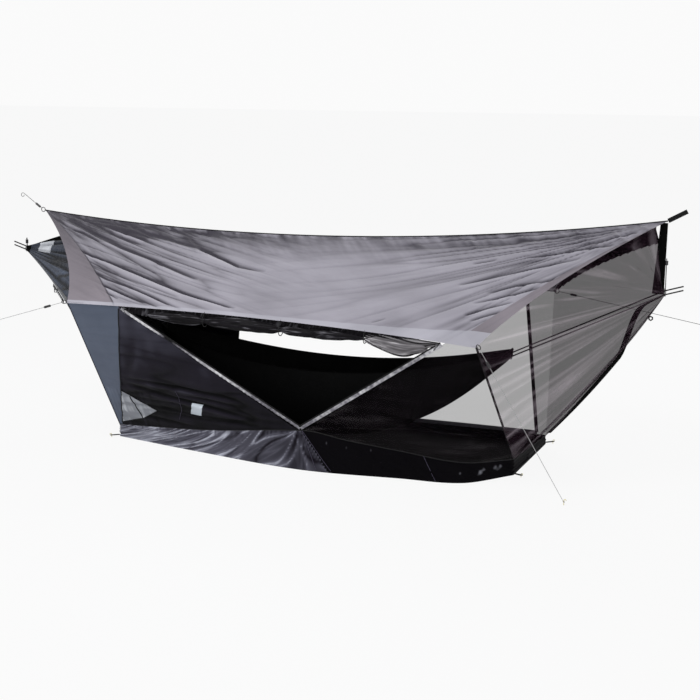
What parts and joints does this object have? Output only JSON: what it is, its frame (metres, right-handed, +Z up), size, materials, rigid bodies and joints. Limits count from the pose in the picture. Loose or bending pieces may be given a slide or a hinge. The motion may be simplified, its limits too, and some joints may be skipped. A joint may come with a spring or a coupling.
{
  "type": "hammock tent",
  "caption": "Hammock tent hung between two trees: ridge rainfly, hung body with bathtub floor, V-zip doors rolled up and a gathered-end hammock inside.",
  "frame": {"origin": "on the ground on the tub's flat underside, below the ridge and 5 cm to the left of the floor's middle", "axes": "+X along the ridge to the right as seen from the front door, -Y towards the front door, +Z up"},
  "size_m": [4.3389, 2.1093, 1.6069],
  "materials": {
    "fly_fabric": "coated woven polyester with a dull sheen",
    "dark_fabric": "thin dark woven nylon",
    "hood_fabric": "thin blue-grey woven nylon",
    "net_fabric": "fine insect netting",
    "tub_fabric": "coated floor cloth with a satin sheen",
    "hammock_fabric": "black woven nylon",
    "webbing": "black woven webbing and cord",
    "line": "pale braided guyline",
    "zip_tape": "pale woven zip tape with a black coil",
    "zip_metal": "satin cast zip slider",
    "plastic": "moulded black nylon",
    "peg": "satin wire peg"
  },
  "bodies": {
    "tent": {"rainfly_front": "fly_fabric", "rainfly_rear": "fly_fabric", "ridge_tape": "webbing", "tub_floor": "tub_fabric", "tub_wall": "tub_fabric", "front_left_wall": "dark_fabric", "front_right_wall": "net_fabric", "rear_left_wall": "dark_fabric", "rear_right_wall": "net_fabric", "left_end_hood": "hood_fabric", "right_end_net": "net_fabric", "front_zip_tape": "zip_tape", "rear_zip_tape": "zip_tape", "front_door_roll": "dark_fabric", "rear_door_roll": "dark_fabric", "front_door_tie_1": "webbing", "front_door_tie_2": "webbing", "front_door_tie_3": "webbing", "rear_door_tie_1": "webbing", "rear_door_tie_2": "webbing", "left_drawcord": "webbing", "right_drawcord": "webbing", "left_ridge_line": "line", "left_ridge_ring": "plastic", "right_ridge_strap": "webbing", "front_left_line": "line", "front_left_ring": "plastic", "front_right_line": "line", "front_right_ring": "plastic", "front_right_line_peg": "peg", "rear_right_line": "line", "rear_right_ring": "plastic", "front_left_stake_loop": "webbing", "front_right_stake_loop": "webbing", "rear_left_stake_loop": "webbing", "rear_right_stake_loop": "webbing", "front_left_peg": "peg", "front_right_peg": "peg", "rear_left_peg": "peg", "rear_right_peg": "peg"},
    "hammock": {"hammock_body": "hammock_fabric", "left_suspension": "webbing", "right_suspension": "webbing", "left_gather_tie": "webbing", "right_gather_tie": "webbing"},
    "front_left_slider": {"front_left_slider": "zip_metal"},
    "front_right_slider": {"front_right_slider": "zip_metal"},
    "rear_left_slider": {"rear_left_slider": "zip_metal"},
    "rear_right_slider": {"rear_right_slider": "zip_metal"},
    "front_left_pull": {"front_left_pull": "zip_metal"},
    "front_right_pull": {"front_right_pull": "zip_metal"},
    "rear_left_pull": {"rear_left_pull": "zip_metal"},
    "rear_right_pull": {"rear_right_pull": "zip_metal"},
    "left_cord_lock": {"left_cord_lock": "plastic"},
    "right_cord_lock": {"right_cord_lock": "plastic"},
    "left_ridge_tensioner": {"left_ridge_tensioner": "plastic"},
    "front_left_tensioner": {"front_left_tensioner": "plastic"},
    "front_right_tensioner": {"front_right_tensioner": "plastic"},
    "rear_right_tensioner": {"rear_right_tensioner": "plastic"}
  },
  "joints": [
    {"name": "hammock_swing", "type": "hinge", "parent": "tent", "child": "hammock", "pos_m": [-2.1, 0, 1.075], "axis": [1, 0, -0.0092], "range_deg": [-15, 15]},
    {"name": "front_left_zip", "type": "slide", "parent": "tent", "child": "front_left_slider", "axis": [0.8464, 0.1286, -0.5168], "range_m": [0, 1.15]},
    {"name": "front_right_zip", "type": "slide", "parent": "tent", "child": "front_right_slider", "axis": [-0.8265, 0.1572, -0.5405], "range_m": [0, 0.97]},
    {"name": "rear_left_zip", "type": "slide", "parent": "tent", "child": "rear_left_slider", "axis": [0.1355, -0.4497, -0.8828], "range_m": [0, 0.84]},
    {"name": "rear_right_zip", "type": "slide", "parent": "tent", "child": "rear_right_slider", "axis": [0.2018, -0.4071, -0.8908], "range_m": [0, 0.79]},
    {"name": "front_left_pull_swing", "type": "hinge", "parent": "front_left_slider", "child": "front_left_pull", "pos_m": [-0.88357, -0.83421, 0.88248], "axis": [-0.5194, 0.4139, -0.7476], "range_deg": [-30, 110]},
    {"name": "front_right_pull_swing", "type": "hinge", "parent": "front_right_slider", "child": "front_right_pull", "pos_m": [1.005, -0.84219, 0.81512], "axis": [-0.5302, -0.5399, 0.6538], "range_deg": [-30, 110]},
    {"name": "rear_left_pull_swing", "type": "hinge", "parent": "rear_left_slider", "child": "rear_left_pull", "pos_m": [-0.91432, 0.76532, 0.87694], "axis": [0.9873, 0.1358, 0.0824], "range_deg": [-20, 110]},
    {"name": "rear_right_pull_swing", "type": "hinge", "parent": "rear_right_slider", "child": "rear_right_pull", "pos_m": [1.04993, 0.77335, 0.83825], "axis": [0.9748, 0.1719, 0.1422], "range_deg": [-20, 110]},
    {"name": "left_cord_lock_slide", "type": "slide", "parent": "tent", "child": "left_cord_lock", "axis": [0, 0, 1], "range_m": [-0.01, 0.01]},
    {"name": "right_cord_lock_slide", "type": "slide", "parent": "tent", "child": "right_cord_lock", "axis": [0, 0, 1], "range_m": [-0.085, 0.01]},
    {"name": "left_ridge_tensioner_slide", "type": "slide", "parent": "tent", "child": "left_ridge_tensioner", "axis": [-0.8232, 0, 0.5677], "range_m": [-0.005, 0.09]},
    {"name": "front_left_tensioner_slide", "type": "slide", "parent": "tent", "child": "front_left_tensioner", "axis": [-0.934, -0.2218, -0.2802], "range_m": [-0.05, 0.25]},
    {"name": "front_right_tensioner_slide", "type": "slide", "parent": "tent", "child": "front_right_tensioner", "axis": [0.4753, 0.1282, -0.8705], "range_m": [-0.05, 0.6]},
    {"name": "rear_right_tensioner_slide", "type": "slide", "parent": "tent", "child": "rear_right_tensioner", "axis": [0.9136, 0.3399, -0.2231], "range_m": [-0.05, 0.6]}
  ]
}
